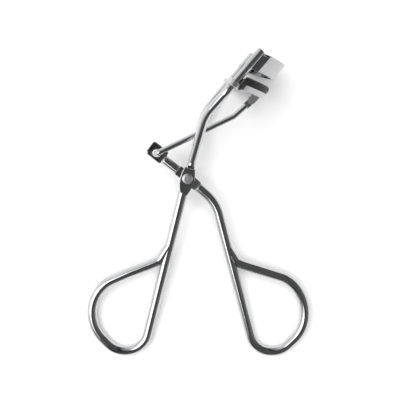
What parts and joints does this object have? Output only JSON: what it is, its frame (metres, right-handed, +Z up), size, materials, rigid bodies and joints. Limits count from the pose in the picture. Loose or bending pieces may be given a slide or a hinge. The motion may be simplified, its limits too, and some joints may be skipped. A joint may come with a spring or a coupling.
{
  "type": "eyelash curler",
  "caption": "Hand-held eyelash curler: wire handles with finger loops cross at a rivet and slide a padded lower jaw along rails towards a curved upper jaw.",
  "frame": {"origin": "centre of the footprint on the table, with the tool resting on the ends of its two finger loops and the lower side of its head", "axes": "+Y from the finger loops towards the jaws, +X towards the moving handle's loop, +Z up from the table"},
  "size_m": [0.0748, 0.1024, 0.0346],
  "materials": {
    "wire": "polished",
    "plate": "polished",
    "fitting": "satin",
    "pad": "satin"
  },
  "bodies": {
    "frame": {"frame_handle": "wire", "frame_arm_near": "wire", "frame_arm_far": "wire", "upper_jaw": "plate", "upper_jaw_sleeve_near": "plate", "upper_jaw_sleeve_far": "plate", "pivot_rivet": "fitting"},
    "lever": {"lever_handle": "wire"},
    "sliding_jaw": {"lower_jaw": "plate", "lash_pad": "pad", "guide_eyelet_near": "plate", "guide_eyelet_far": "plate", "link_bracket": "plate", "link_pin": "fitting"},
    "link": {"link_wire": "wire"}
  },
  "joints": [
    {"name": "lever_hinge", "type": "hinge", "parent": "frame", "child": "lever", "pos_m": [-0.00355, 0.00913, 0.01182], "axis": [0, 0.1714, -0.9852], "range_deg": [0, 11]},
    {"name": "jaw_slide", "type": "slide", "parent": "frame", "child": "sliding_jaw", "axis": [0.6534, 0.7458, 0.1298], "range_m": [0, 0.0025]},
    {"name": "link_hinge", "type": "hinge", "parent": "lever", "child": "link", "pos_m": [-0.0135, 0.01699, 0.01318], "axis": [0, -0.1714, 0.9852], "range_deg": [0, 11.3]}
  ],
  "couplings": [
    {"joint": "jaw_slide", "follows": "lever_hinge", "m_per_rad": 0.01296},
    {"joint": "link_hinge", "follows": "lever_hinge", "ratio": 1.0175}
  ]
}
